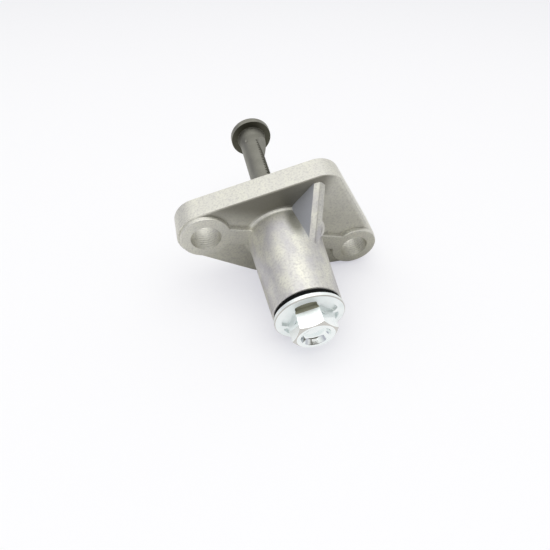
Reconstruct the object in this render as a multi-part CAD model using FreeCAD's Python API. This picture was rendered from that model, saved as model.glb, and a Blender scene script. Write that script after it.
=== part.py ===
"""Cam chain tensioner: a die-cast housing, a ratchet plunger pushed out by a spring, and an end bolt.

Millimetres. Y runs along the plunger and points out of the gasket face, X runs along the two bolt holes,
Z is up. The origin is on the plunger axis, in the gasket face.
"""
import FreeCAD, Part
import math
import os

from FreeCAD import Vector

# Mounting plate, drawn as the hull of four circles, with its gasket face in the plane y = 0.
bolt_spacing = 36.0
bolt_middle_x = 0.8
bolt_row_z = -1.6
bolt_hole_r = 3.25
lobe_r = 5.65
lobe_out = 0.25
lobe_down = 0.35
apex_x = 4.9
apex_z = 11.8
apex_r = 5.4
foot_r = 12.8
plate_t = 5.65
plate_edge_r = 0.25
right_edge_r = 1.2

# Raised pads round the bolt holes, and the web that joins them to the barrel.
pad_r = 5.4
pad_h = 1.05
pad_edge_r = 0.25
web_top_z = 1.4
web_bottom_z = -2.9

# Barrel behind the plate, with the plunger bore and the tapped hole for the end bolt.
barrel_l = 26.3
barrel_root_r = 7.95
barrel_end_r = 7.05
barrel_fillet_r = 0.9
barrel_edge_r = 0.3
bore_depth = 18.0
thread_r = 3.0
thread_chamfer = 0.5

# Gusset rib above the barrel: a ridge that runs from the plate down to the barrel.
rib_top_x = 2.95
rib_top_z = 15.6
rib_foot_x = 2.25
rib_foot_y = -15.0
rib_sink = 0.1
rib_root = 0.3
rib_ridge_w = 2.5
rib_crest_w = 0.35
rib_crown = 0.55
rib_spread = 0.37

# Plunger: a round rod with a toothed flat on one side and a mushroom head.
rod_r = 3.35
slide_clearance = 0.05
tail_l = 5.0
tail_chamfer = 0.3
tail_wall = 1.0
neck_r = 3.6
neck_l = 2.7
head_r = 5.3
head_t = 1.57
head_front_y = 31.7
head_edge_r = 0.15
dimple_r = 0.8
dimple_depth = 0.16
dimple_y = 25.9
dimple_deg = 145.5

# Ratchet teeth along the flat. Their flat faces the direction rack_deg, turned from +X towards +Z.
rack_deg = 37.0
tooth_pitch = 1.0
tooth_depth = 0.5
flat_depth = 1.7
rack_end_y = 25.1
runout_deg = 33.0

# Pawl that drops into the teeth, drawn lifted just clear of them, with its pin and return spring.
pawl_pin_r = 0.8
pin_seat_gap = 0.01
pin_end_gap = 0.1
pawl_bore_gap = 0.05
pawl_eye_wall = 0.7
pawl_eye_gap = 0.2
pawl_floor_gap = 0.35
pawl_t = 1.4
pawl_side_gap = 0.12
pawl_lift = 0.2
pawl_reach = 5.8
pawl_nose_w = 1.5
pawl_nose_back = 1.5
pawl_nose_rise = 1.2
pawl_tab_out = 1.3
pawl_tab_drop = 1.4
pawl_tab_w = 1.1
pawl_drop_deg = 4.5
pawl_backlash = 0.3
shoulder_gap = 0.2
pawl_wire_r = 0.2
pawl_coil_gap = 0.2
pawl_coil_pitch = 0.42
pawl_coil_turns = 2

# Locating spigot on the gasket face, with a pocket for the pawl that is open to the front.
pawl_swing = 0.8
spigot_wall = 0.8
spigot_l = 6.0
spigot_chamfer = 0.5
pocket_floor = 0.3

# Plunger spring, seated in the plunger's tail and in the tip of the end bolt.
spring_wire_r = 0.225
spring_mean_r = 1.75
spring_turns = 16
spring_seat_gap = 0.2
tip_bore_depth = 2.0

# Sealing ring and end bolt, with a hexagon head on a round flange and a dished end.
seal_t = 0.95
seal_inset = 0.25
seal_hole_gap = 0.15
seal_edge_r = 0.4
flange_r = 7.1
flange_rim_t = 0.95
flange_edge_r = 0.2
flange_cone_h = 0.5
hex_across_flats = 8.0
hex_deg = 122.0
hex_chamfer_w = 0.2
hex_chamfer_h = 0.5
ledge_w = 1.7
ledge_sink = 0.05
ledge_fall = 0.3
ledge_end_gap = 0.15
bolt_head_h = 5.3
bolt_shank_l = 8.0
bolt_thread_gap = 0.05
bolt_tip_chamfer = 0.5
dish_rim_w = 0.95
dish_slope_w = 0.75
dish_depth = 1.3
dish_floor_r = 0.55
dish_mouth_r = 0.25

# Values that follow from the sizes above.
overcut = 1.0
flat_tolerance = 1e-6
y_axis = Vector(0, 1, 0)
bolt_xs = [bolt_middle_x - bolt_spacing / 2, bolt_middle_x + bolt_spacing / 2]
lobes = [
    (bolt_xs[0] - lobe_out, bolt_row_z - lobe_down, lobe_r),
    (bolt_xs[1] + lobe_out, bolt_row_z - lobe_down, lobe_r),
]
pad_y = -(plate_t + pad_h)
bore_r = rod_r + slide_clearance
crest_u = rod_r - flat_depth
pawl_eye_r = pawl_pin_r + pawl_bore_gap + pawl_eye_wall
pawl_pin_u = rod_r + pawl_eye_gap + pawl_eye_r
pawl_pin_y = pocket_floor + pawl_floor_gap + pawl_eye_r
pawl_nose_u = crest_u + pawl_lift
pawl_nose_y = pawl_pin_y + pawl_reach
pawl_tab_u = pawl_pin_u + pawl_tab_out
pawl_tab_y = pawl_nose_y - pawl_tab_drop
pawl_coil_l = pawl_coil_pitch * pawl_coil_turns
pocket_w = pawl_t + pawl_coil_l + 2 * pawl_wire_r + 3 * pawl_side_gap
pawl_side = -pocket_w / 2 + pawl_side_gap
coil_low = pawl_side + pawl_t + pawl_side_gap + pawl_wire_r
coil_high = coil_low + pawl_coil_l
pocket_out = pawl_tab_u + pawl_swing
spigot_r = pocket_out + spigot_wall
rack_start_y = pawl_pin_y - shoulder_gap
tail_y = rack_start_y - tail_l
spring_top_y = rack_start_y - tail_wall
seat_y = -(barrel_l + seal_t)
seal_r = flange_r - seal_inset
bolt_end_y = seat_y - bolt_head_h
bolt_tip_y = seat_y + bolt_shank_l
spring_foot_y = bolt_tip_y - tip_bore_depth
spring_bore_r = spring_mean_r + spring_wire_r + spring_seat_gap
hex_r = hex_across_flats / 2
hex_corner_r = hex_r / math.cos(math.pi / 6)
rack_angle = math.radians(rack_deg)
rack_out = Vector(math.cos(rack_angle), 0, math.sin(rack_angle))
rack_side = Vector(-math.sin(rack_angle), 0, math.cos(rack_angle))


def cylinder(radius, y_from, y_to, x=0.0, z=0.0):
    """Cylinder along Y between two heights."""
    low = min(y_from, y_to)
    return Part.makeCylinder(radius, abs(y_to - y_from), Vector(x, low, z), y_axis)


def turned(points):
    """Solid of revolution about the plunger axis from (radius, y) points."""
    corners = [Vector(r, y, 0) for r, y in points]
    return Part.Face(Part.makePolygon(corners + corners[:1])).revolve(Vector(), y_axis, 360)


def rack_point(u, y, w):
    """Point given by its distance along the rack's direction, its height and its sideways place."""
    return rack_out * u + y_axis * y + rack_side * w


def rack_prism(points, w_from, w_to):
    """Prism of a (distance, y) outline that stands in the rack's plane."""
    corners = [rack_point(u, y, w_from) for u, y in points]
    return Part.Face(Part.makePolygon(corners + corners[:1])).extrude(rack_side * (w_to - w_from))


def turn_about_pin(u, y, degrees):
    """Where a point of the pawl goes when the pawl drops towards the plunger by an angle."""
    angle = math.radians(degrees)
    du = u - pawl_pin_u
    dy = y - pawl_pin_y
    turned_u = du * math.cos(angle) - dy * math.sin(angle)
    turned_y = du * math.sin(angle) + dy * math.cos(angle)
    return pawl_pin_u + turned_u, pawl_pin_y + turned_y


def edges_at(shape, y):
    """Edges that lie in the plane of one height."""
    return [e for e in shape.Edges if max(abs(e.BoundBox.YMin - y), abs(e.BoundBox.YMax - y)) < flat_tolerance]


def hull_wire(circles):
    """Outline round circles (x, z, radius), given counter-clockwise, in the gasket face."""
    normals = []
    for (x, z, r), (next_x, next_z, next_r) in zip(circles, circles[1:] + circles[:1]):
        gap = math.hypot(next_x - x, next_z - z)
        along = math.atan2(next_z - z, next_x - x)
        normals.append(along - math.acos((r - next_r) / gap))
    edges = []
    for i, (x, z, r) in enumerate(circles):
        arrive = normals[i - 1]
        leave = arrive + (normals[i] - arrive) % (2 * math.pi)
        start, middle, end = [
            Vector(x + r * math.cos(a), 0, z + r * math.sin(a)) for a in (arrive, (arrive + leave) / 2, leave)
        ]
        edges.append(Part.Arc(start, middle, end).toShape())
        next_x, next_z, next_r = circles[(i + 1) % len(circles)]
        onward = Vector(next_x + next_r * math.cos(leave), 0, next_z + next_r * math.sin(leave))
        edges.append(Part.makeLine(end, onward))
    return Part.Wire(edges)


def right_edge_tool():
    """What the large rounding takes off the plate's right back edge."""
    lobe_x, lobe_z, _ = lobes[1]
    run = Vector(lobe_x - apex_x, 0, lobe_z - apex_z)
    lean = math.asin((apex_r - lobe_r) / run.Length)
    across = Vector(-run.z, 0, run.x).normalize()
    out = across * math.cos(lean) + run.normalize() * math.sin(lean)
    along = Vector(out.z, 0, -out.x)
    corner = Vector(apex_x, -plate_t, apex_z) + out * apex_r
    centre = corner - out * right_edge_r + y_axis * right_edge_r
    reach = lobe_r + apex_r + bolt_spacing
    start = along * (-reach / 2)
    outline = [centre + start, centre + start + out * (right_edge_r + overcut)]
    outline.append(outline[1] - y_axis * (right_edge_r + overcut))
    outline.append(outline[0] - y_axis * (right_edge_r + overcut))
    block = Part.Face(Part.makePolygon(outline + outline[:1])).extrude(along * reach)
    return block.cut(Part.makeCylinder(right_edge_r, reach, centre + start, along))


def make_plate():
    """Plate with its raised pads and web, before the holes."""
    outline = hull_wire([lobes[0], (0.0, 0.0, foot_r), lobes[1], (apex_x, apex_z, apex_r)])
    plate = Part.Face(outline).extrude(Vector(0, -plate_t, 0))
    plate = plate.makeFillet(plate_edge_r, edges_at(plate, -plate_t)).cut(right_edge_tool())
    raised = []
    for x in bolt_xs:
        pad = cylinder(pad_r, -plate_t / 2, pad_y, x, bolt_row_z)
        raised.append(pad.makeFillet(pad_edge_r, edges_at(pad, pad_y)))
    web = Part.makeBox(bolt_spacing, -pad_y, web_top_z - web_bottom_z, Vector(bolt_xs[0], pad_y, web_bottom_z))
    long_edges = [e for e in edges_at(web, pad_y) if e.BoundBox.XLength > e.BoundBox.ZLength]
    return plate.fuse(raised + [web.makeFillet(pad_edge_r, long_edges)])


def make_barrel():
    """Tapered barrel that runs into the plate through a hollow fillet."""
    root_y = -plate_t
    fillet = barrel_fillet_r
    wide = Vector(barrel_root_r + fillet, root_y, 0)
    narrow = Vector(barrel_root_r, root_y - fillet, 0)
    hollow = fillet * (1 - math.sqrt(0.5))
    between = Vector(barrel_root_r + hollow, root_y - hollow, 0)
    rim = Vector(barrel_end_r, -barrel_l, 0)
    edges = [
        Part.makeLine(Vector(0, 0, 0), Vector(wide.x, 0, 0)),
        Part.makeLine(Vector(wide.x, 0, 0), wide),
        Part.Arc(wide, between, narrow).toShape(),
        Part.makeLine(narrow, rim),
        Part.makeLine(rim, Vector(0, -barrel_l, 0)),
        Part.makeLine(Vector(0, -barrel_l, 0), Vector(0, 0, 0)),
    ]
    barrel = Part.Face(Part.Wire(edges)).revolve(Vector(), y_axis, 360)
    return barrel.makeFillet(barrel_edge_r, edges_at(barrel, -barrel_l))


def barrel_radius(y):
    """Radius of the barrel's taper at one height."""
    share = (-y - plate_t - barrel_fillet_r) / (barrel_l - plate_t - barrel_fillet_r)
    return barrel_root_r + share * (barrel_end_r - barrel_root_r)


def rib_section(x, y, ridge_z, floor_z):
    """Section of the rib: a low roof along the ridge, and sides that spread towards the barrel."""
    half = rib_ridge_w / 2
    crest = rib_crest_w / 2
    eave_z = ridge_z - rib_crown
    spread = half + rib_spread * (eave_z - floor_z)
    corners = [(-half, eave_z), (-crest, ridge_z), (crest, ridge_z), (half, eave_z)]
    corners += [(spread, floor_z), (-spread, floor_z)]
    points = [Vector(x + side, y, z) for side, z in corners]
    return Part.makePolygon(points + points[:1])


def make_rib():
    """Gusset rib from the plate to the barrel."""
    foot_z = math.sqrt(barrel_radius(rib_foot_y) ** 2 - rib_foot_x ** 2) - rib_sink
    beyond = rib_root / (-plate_t - rib_foot_y)
    inside_x = rib_top_x + beyond * (rib_top_x - rib_foot_x)
    inside_z = rib_top_z + beyond * (rib_top_z - foot_z)
    floor_z = bore_r + overcut
    inside = rib_section(inside_x, rib_root - plate_t, inside_z, floor_z)
    foot = rib_section(rib_foot_x, rib_foot_y, foot_z, floor_z)
    return Part.makeLoft([inside, foot], True, True)


def make_housing():
    """Die-cast housing: plate, barrel, rib and spigot in one piece, then drilled, tapped and pocketed."""
    spigot = turned([
        (0, 0),
        (spigot_r, 0),
        (spigot_r, spigot_l - spigot_chamfer),
        (spigot_r - spigot_chamfer, spigot_l),
        (0, spigot_l),
    ])
    body = make_plate().fuse([make_barrel(), make_rib(), spigot]).removeSplitter()
    top = spigot_l + overcut
    pocket_sides = [(0, pocket_floor), (pocket_out, pocket_floor), (pocket_out, top), (0, top)]
    pocket = rack_prism(pocket_sides, -pocket_w / 2, pocket_w / 2)
    bore = cylinder(bore_r, -bore_depth, spigot_l + overcut)
    tapped = turned([
        (0, -barrel_l - overcut),
        (thread_r + thread_chamfer + overcut, -barrel_l - overcut),
        (thread_r, -barrel_l + thread_chamfer),
        (thread_r, -bore_depth + overcut),
        (0, -bore_depth + overcut),
    ])
    pin_hole = Part.makeCylinder(
        pawl_pin_r + pin_seat_gap, 2 * spigot_r, rack_point(pawl_pin_u, pawl_pin_y, -spigot_r), rack_side
    )
    holes = [cylinder(bolt_hole_r, pad_y - overcut, overcut, x, bolt_row_z) for x in bolt_xs]
    return body.cut([bore, tapped, pocket, pin_hole] + holes)


def make_rack_tool():
    """What the cutter takes off the rod: a toothed flat that runs out to the surface under the head."""
    nose_y = turn_about_pin(pawl_nose_u, pawl_nose_y, pawl_drop_deg)[1]
    first_face = nose_y + pawl_backlash
    first_face -= tooth_pitch * math.floor((first_face - tooth_pitch - rack_start_y) / tooth_pitch)
    out_u = neck_r + overcut / 2
    outline = [(out_u, rack_start_y), (crest_u, rack_start_y), (crest_u, first_face - tooth_pitch)]
    face_y = first_face
    while face_y < rack_end_y:
        outline += [(crest_u - tooth_depth, face_y), (crest_u, face_y)]
        face_y += tooth_pitch
    runout_l = (out_u - crest_u) / math.tan(math.radians(runout_deg))
    outline += [(crest_u, rack_end_y), (out_u, rack_end_y + runout_l)]
    return rack_prism(outline, -head_r, head_r)


def make_plunger():
    """Plunger rod with its neck, head, teeth, spring bore and a small punch mark."""
    under_y = head_front_y - head_t
    rod = turned([
        (0, tail_y),
        (rod_r - tail_chamfer, tail_y),
        (rod_r, tail_y + tail_chamfer),
        (rod_r, under_y - neck_l),
        (neck_r, under_y),
        (head_r, under_y),
        (head_r, head_front_y),
        (0, head_front_y),
    ])
    rims = [e for y in (under_y, head_front_y) for e in edges_at(rod, y) if e.BoundBox.XMax > neck_r + overcut / 2]
    rod = rod.makeFillet(head_edge_r, rims)
    mark = math.radians(dimple_deg)
    reach = rod_r + dimple_r - dimple_depth
    dimple = Part.makeSphere(dimple_r, Vector(reach * math.cos(mark), dimple_y, reach * math.sin(mark)))
    spring_bore = cylinder(spring_bore_r, tail_y - overcut, spring_top_y)
    return rod.cut([make_rack_tool(), dimple, spring_bore])


def make_pawl():
    """Pawl: an eye on the pin, an arm with a nose for the teeth, and a tab to lift it by."""
    lean = math.radians(pawl_drop_deg)
    face_u = pawl_nose_u + pawl_nose_w * math.cos(lean)
    face_y = pawl_nose_y - pawl_nose_w * math.sin(lean)
    arm = [
        (pawl_nose_u, pawl_nose_y),
        (pawl_nose_u + pawl_nose_rise, pawl_nose_y - pawl_nose_back),
        (pawl_pin_u - pawl_eye_r, pawl_pin_y),
        (pawl_pin_u + pawl_eye_r, pawl_pin_y),
        (pawl_pin_u + pawl_eye_r / 2, pawl_tab_y - 2 * pawl_tab_w),
        (pawl_tab_u, pawl_tab_y - pawl_tab_w),
        (pawl_tab_u, pawl_tab_y),
        (face_u + pawl_tab_w, pawl_tab_y),
        (face_u, face_y),
    ]
    pivot = rack_point(pawl_pin_u, pawl_pin_y, pawl_side)
    eye = Part.makeCylinder(pawl_eye_r, pawl_t, pivot, rack_side)
    bore = Part.makeCylinder(pawl_pin_r + pawl_bore_gap, pawl_t, pivot, rack_side)
    return rack_prism(arm, pawl_side, pawl_side + pawl_t).fuse(eye).removeSplitter().cut(bore)


def make_pawl_pin():
    """Plain pin pressed through the spigot, with its ends inside the spigot's round."""
    half = math.sqrt(spigot_r ** 2 - (pawl_pin_u + pawl_pin_r) ** 2) - pin_end_gap
    return Part.makeCylinder(pawl_pin_r, 2 * half, rack_point(pawl_pin_u, pawl_pin_y, -half), rack_side)


def rod_between(start, end, radius):
    """Round wire between two points, with a ball at both ends."""
    rod = Part.makeCylinder(radius, (end - start).Length, start, end - start)
    return rod.fuse([Part.makeSphere(radius, start), Part.makeSphere(radius, end)])


def make_coil(pitch, turns, mean_r, wire_r):
    """Round wire wound round Z from the height 0, starting on the X axis."""
    helix = Part.makeHelix(pitch, pitch * turns, mean_r)
    section = Part.Wire(Part.makeCircle(wire_r, Vector(mean_r, 0, 0), y_axis))
    return Part.Wire(helix.Edges).makePipeShell([section], True, True)


def make_pawl_spring():
    """Torsion spring on the pin: a short coil beside the pawl, one leg on the plate, one on the pawl's back."""
    mean_r = pawl_pin_r + pawl_coil_gap + pawl_wire_r
    coil = make_coil(pawl_coil_pitch, pawl_coil_turns, mean_r, pawl_wire_r)
    turn = FreeCAD.Rotation(rack_out, y_axis, rack_out.cross(y_axis), "XYZ")
    coil.Placement = FreeCAD.Placement(rack_point(pawl_pin_u, pawl_pin_y, coil_low), turn)
    start_u = pawl_pin_u + mean_r
    plate_leg = rod_between(
        rack_point(start_u, pawl_pin_y, coil_low),
        rack_point(start_u, pocket_floor + pawl_wire_r + pin_end_gap, coil_low),
        pawl_wire_r,
    )
    back_u = pawl_tab_u + pawl_wire_r + slide_clearance
    back_y = pawl_tab_y - pawl_tab_w / 2
    corner = rack_point(back_u, back_y, coil_high)
    pawl_leg = rod_between(rack_point(start_u, pawl_pin_y, coil_high), corner, pawl_wire_r)
    hook = rod_between(corner, rack_point(back_u, back_y, pawl_side + pawl_t / 2), pawl_wire_r)
    return coil.fuse([plate_leg, pawl_leg, hook])


def make_plunger_spring():
    """Compression spring with ground ends, from the bolt's tip to the end of the plunger's bore."""
    pitch = (spring_top_y - spring_foot_y) / (spring_turns - 1)
    coil = make_coil(pitch, spring_turns, spring_mean_r, spring_wire_r)
    coil.rotate(Vector(), Vector(1, 0, 0), -90)
    coil.translate(Vector(0, spring_foot_y - pitch / 2, 0))
    return coil.common(cylinder(bore_r, spring_foot_y, spring_top_y))


def make_sealing_ring():
    """Flat rubber ring between the barrel's end and the bolt's flange."""
    ring = cylinder(seal_r, seat_y, -barrel_l).cut(cylinder(thread_r + seal_hole_gap, seat_y, -barrel_l))
    rims = [e for y in (seat_y, -barrel_l) for e in edges_at(ring, y) if e.BoundBox.XMax > seal_r - seal_edge_r]
    return ring.makeFillet(seal_edge_r, rims)


def make_bolt_head():
    """Hexagon on a round flange, with a small sloping ledge sunk at the foot of each flat and a dished end."""
    rim_y = seat_y - flange_rim_t
    cone_y = rim_y - flange_cone_h
    flange = turned([(0, seat_y), (flange_r, seat_y), (flange_r, rim_y), (hex_r, cone_y), (0, cone_y)])
    flange = flange.makeFillet(flange_edge_r, edges_at(flange, seat_y) + edges_at(flange, rim_y))
    ledges = []
    ledge_y = rim_y + ledge_sink
    ledge_l = hex_corner_r - 2 * ledge_end_gap
    sunk = turned([
        (0, bolt_end_y),
        (hex_r + ledge_w, bolt_end_y),
        (hex_r + ledge_w, ledge_y + ledge_fall),
        (hex_r, ledge_y),
        (0, ledge_y),
    ])
    for i in range(6):
        ledge = Part.makeBox(flange_r, bolt_head_h, ledge_l, Vector(hex_r, bolt_end_y, -ledge_l / 2))
        ledge.rotate(Vector(), y_axis, -(hex_deg + 60 * i))
        ledges.append(ledge.common(sunk))
    corners = []
    for i in range(6):
        angle = math.radians(hex_deg + 30 + 60 * i)
        corners.append(Vector(hex_corner_r * math.cos(angle), seat_y - flange_edge_r, hex_corner_r * math.sin(angle)))
    hexagon = Part.Face(Part.makePolygon(corners + corners[:1])).extrude(Vector(0, bolt_end_y - corners[0].y, 0))
    blank = turned([
        (0, seat_y),
        (hex_corner_r, seat_y),
        (hex_corner_r, bolt_end_y + hex_chamfer_h),
        (hex_r - hex_chamfer_w, bolt_end_y),
        (0, bolt_end_y),
    ])
    dish_r = hex_r - dish_rim_w
    dish = turned([
        (0, bolt_end_y - overcut),
        (dish_r, bolt_end_y - overcut),
        (dish_r, bolt_end_y),
        (dish_r - dish_slope_w, bolt_end_y + dish_depth),
        (0, bolt_end_y + dish_depth),
    ])
    dish = dish.makeFillet(dish_floor_r, edges_at(dish, bolt_end_y + dish_depth))
    head = flange.cut(ledges).fuse(hexagon.common(blank)).cut(dish)
    mouth = [e for e in edges_at(head, bolt_end_y) if e.BoundBox.XMax < dish_r + dish_mouth_r]
    return head.makeFillet(dish_mouth_r, mouth)


def make_end_bolt():
    """Hexagon flange bolt that closes the barrel and carries the spring in its tip."""
    shank_r = thread_r - bolt_thread_gap
    shank = turned([
        (0, seat_y),
        (shank_r, seat_y),
        (shank_r, bolt_tip_y - bolt_tip_chamfer),
        (shank_r - bolt_tip_chamfer, bolt_tip_y),
        (0, bolt_tip_y),
    ])
    spring_seat = cylinder(spring_bore_r, spring_foot_y, bolt_tip_y + overcut)
    return make_bolt_head().fuse(shank).removeSplitter().cut(spring_seat)


os.makedirs("parts", exist_ok=True)
pieces = {
    "housing": make_housing(),
    "plunger": make_plunger(),
    "plunger_spring": make_plunger_spring(),
    "pawl": make_pawl(),
    "pawl_pin": make_pawl_pin(),
    "pawl_spring": make_pawl_spring(),
    "sealing_ring": make_sealing_ring(),
    "end_bolt": make_end_bolt(),
}
for name, shape in pieces.items():
    shape.exportStep(f"parts/{name}.step")
    print(name, len(shape.Solids), "solid", shape.isValid(), round(shape.Volume, 2))
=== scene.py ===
"""Looks of a cam chain tensioner: its finishes, its two springs, a cast lump, the table, the light and the camera.

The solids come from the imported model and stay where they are. Lengths are in metres. Y runs along the plunger,
X along the two bolt holes, Z is up, and the origin is on the plunger axis in the gasket face.
"""
from __future__ import annotations

import logging
import math
from dataclasses import dataclass, field
from enum import Enum

import bmesh
import bpy
from mathutils import Matrix, Vector

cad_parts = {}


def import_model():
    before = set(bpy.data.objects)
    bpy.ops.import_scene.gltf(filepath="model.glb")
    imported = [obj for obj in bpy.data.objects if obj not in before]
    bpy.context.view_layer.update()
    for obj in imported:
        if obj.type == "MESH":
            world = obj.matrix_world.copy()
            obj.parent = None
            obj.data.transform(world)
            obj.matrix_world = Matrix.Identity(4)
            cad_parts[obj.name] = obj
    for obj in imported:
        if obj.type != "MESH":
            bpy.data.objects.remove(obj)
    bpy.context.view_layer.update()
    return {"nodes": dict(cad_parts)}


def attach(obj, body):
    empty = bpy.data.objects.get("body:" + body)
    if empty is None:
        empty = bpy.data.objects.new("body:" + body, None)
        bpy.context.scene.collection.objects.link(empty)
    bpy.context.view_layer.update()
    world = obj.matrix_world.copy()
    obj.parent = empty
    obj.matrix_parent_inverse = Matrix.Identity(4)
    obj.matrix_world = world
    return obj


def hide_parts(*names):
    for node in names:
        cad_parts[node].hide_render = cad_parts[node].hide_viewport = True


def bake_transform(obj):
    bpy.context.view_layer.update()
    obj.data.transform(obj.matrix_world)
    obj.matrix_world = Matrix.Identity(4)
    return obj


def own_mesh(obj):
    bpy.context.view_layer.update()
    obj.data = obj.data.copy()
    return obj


MM = 0.001
WHITE = "#FFFFFF"
NOISE_SPAN = (0.3, 0.7)  # most values of a noise texture lie in here
WAVE_PERIOD = math.tau / 20  # period of a wave texture at a scale of one
LOG = logging.getLogger("tensioner")

RACK_ANGLE = math.radians(37.0)
RACK_OUT = Vector((math.cos(RACK_ANGLE), 0.0, math.sin(RACK_ANGLE)))
RACK_SIDE = Vector((-math.sin(RACK_ANGLE), 0.0, math.cos(RACK_ANGLE)))
PLUNGER_WAY = Vector((0.0, 1.0, 0.0))
TABLE_UP = Vector((-0.252, 0.209, 0.945)).normalized()


class Body(Enum):
    """The bodies that the scene's own pieces can ride on; only the housing carries any."""

    HOUSING = "housing"
    PAWL = "pawl"


class Slot(Enum):
    """Names of two of the record's material slots; the script gives them to no piece."""

    CAST = "cast_aluminium"
    SPRING = "spring_steel"


def linear(hex_colour: str) -> tuple[float, float, float, float]:
    """Turn an sRGB hex colour into linear values.

    Args:
        hex_colour: Six hex digits after a number sign.

    Returns:
        Linear red, green and blue, and an alpha of one.
    """
    parts = [int(hex_colour[i:i + 2], 16) / 255 for i in (1, 3, 5)]
    red, green, blue = (c / 12.92 if c <= 0.04045 else ((c + 0.055) / 1.055) ** 2.4 for c in parts)
    return red, green, blue, 1.0


def add_node(tree: bpy.types.NodeTree, kind: str, inputs: dict[str | int, object] | None = None,
             **settings: object) -> bpy.types.Node:
    """Add a node with its settings, its socket values and its links.

    Args:
        tree: Tree that gets the node.
        kind: Blender's name of the node type.
        inputs: Socket name or number to a value, or to the output socket that feeds it.
        settings: Properties of the node itself.

    Returns:
        The new node.
    """
    node = tree.nodes.new(kind)
    for name, value in settings.items():
        setattr(node, name, value)
    for name, value in (inputs or {}).items():
        if isinstance(value, bpy.types.NodeSocket):
            tree.links.new(value, node.inputs[name])
        else:
            node.inputs[name].default_value = value
    return node


def axis_distance(tree: bpy.types.NodeTree, place: bpy.types.NodeSocket,
                  centre_mm: Vector | tuple[float, float, float] = (0.0, 0.0, 0.0)) -> bpy.types.NodeSocket:
    """Measure the distance from an axis that runs along the plunger.

    Args:
        tree: Tree that gets the nodes.
        place: Object coordinates.
        centre_mm: Point of the axis in the gasket face, in millimetres.

    Returns:
        Socket of the distance in metres.
    """
    flat = add_node(tree, "ShaderNodeVectorMath", {0: place, 1: (1.0, 0.0, 1.0)}, operation="MULTIPLY")
    return add_node(tree, "ShaderNodeVectorMath", {0: flat.outputs[0], 1: Vector(centre_mm) * MM},
                    operation="DISTANCE").outputs["Value"]


def share_of_reach(tree: bpy.types.NodeTree, place: bpy.types.NodeSocket, middle_mm: tuple[float, float, float],
                   reach_mm: tuple[float, float, float]) -> bpy.types.NodeSocket:
    """Measure the distance from a middle as a share of the reach in each direction.

    Args:
        tree: Tree that gets the nodes.
        place: Object coordinates.
        middle_mm: The middle, in millimetres.
        reach_mm: Reach along each axis, in millimetres.

    Returns:
        Socket that is one at the reach.
    """
    offset = add_node(tree, "ShaderNodeVectorMath", {0: place, 1: Vector(middle_mm) * MM}, operation="SUBTRACT")
    share = add_node(tree, "ShaderNodeVectorMath", {0: offset.outputs[0], 1: Vector(reach_mm) * MM},
                     operation="DIVIDE")
    return add_node(tree, "ShaderNodeVectorMath", {0: share.outputs[0]}, operation="LENGTH").outputs["Value"]


def rack_point(out: float, along: float, side: float) -> Vector:
    """Find a point by its place in the ratchet's plane.

    Args:
        out: Distance from the plunger axis towards the pawl, in millimetres.
        along: Height along the plunger, in millimetres.
        side: Sideways place, in millimetres.

    Returns:
        The point in metres.
    """
    return (RACK_OUT * out + PLUNGER_WAY * along + RACK_SIDE * side) * MM


def dress_node(node: bpy.types.Object, material: bpy.types.Material) -> None:
    """Give every material slot of a solid one finish.

    Args:
        node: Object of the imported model.
        material: Finish that it gets.
    """
    if not node.material_slots:
        node.data.materials.append(material)
    for holder in node.material_slots:
        holder.material = material


def mesh_object(name: str, shape: bmesh.types.BMesh, material: bpy.types.Material, smooth: bool) -> bpy.types.Object:
    """Turn a bmesh into an object of the scene.

    Args:
        name: Name of the piece.
        shape: Finished bmesh, which is freed.
        material: Finish of the piece.
        smooth: Whether its faces are shaded smooth.

    Returns:
        The linked object, at the origin.
    """
    for face in shape.faces:
        face.smooth = smooth
    mesh = bpy.data.meshes.new(name)
    shape.to_mesh(mesh)
    shape.free()
    mesh.materials.append(material)
    piece = bpy.data.objects.new(name, mesh)
    bpy.context.scene.collection.objects.link(piece)
    return piece


@dataclass(frozen=True)
class Finish:
    """A material with its name; each finish adds its own nodes."""

    name: str

    def start(self) -> tuple[bpy.types.Material, bpy.types.NodeTree, bpy.types.NodeSocket]:
        """Make an empty node material.

        Returns:
            The material, its tree and the socket of object coordinates.
        """
        material = bpy.data.materials.new(self.name)
        material.use_nodes = True
        tree = material.node_tree
        tree.nodes.clear()
        place = add_node(tree, "ShaderNodeTexCoord").outputs["Object"]
        return material, tree, place

    def close(self, tree: bpy.types.NodeTree, ground: str, layers: list[tuple[bpy.types.NodeSocket, str]],
              inputs: dict[str, object]) -> None:
        """Lay the tones over each other, and add the surface shader and the output.

        Args:
            tree: Tree of the material.
            ground: Hex colour under the layers.
            layers: Share and hex colour of each layer.
            inputs: Other values and links of the surface shader.
        """
        colour = linear(ground)
        for share, tone in layers:
            colour = add_node(tree, "ShaderNodeMix", {"Factor": share, "A": colour, "B": linear(tone)},
                              data_type="RGBA").outputs["Result"]
        surface = add_node(tree, "ShaderNodeBsdfPrincipled", {"Base Color": colour, **inputs})
        add_node(tree, "ShaderNodeOutputMaterial", {"Surface": surface.outputs["BSDF"]})


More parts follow.
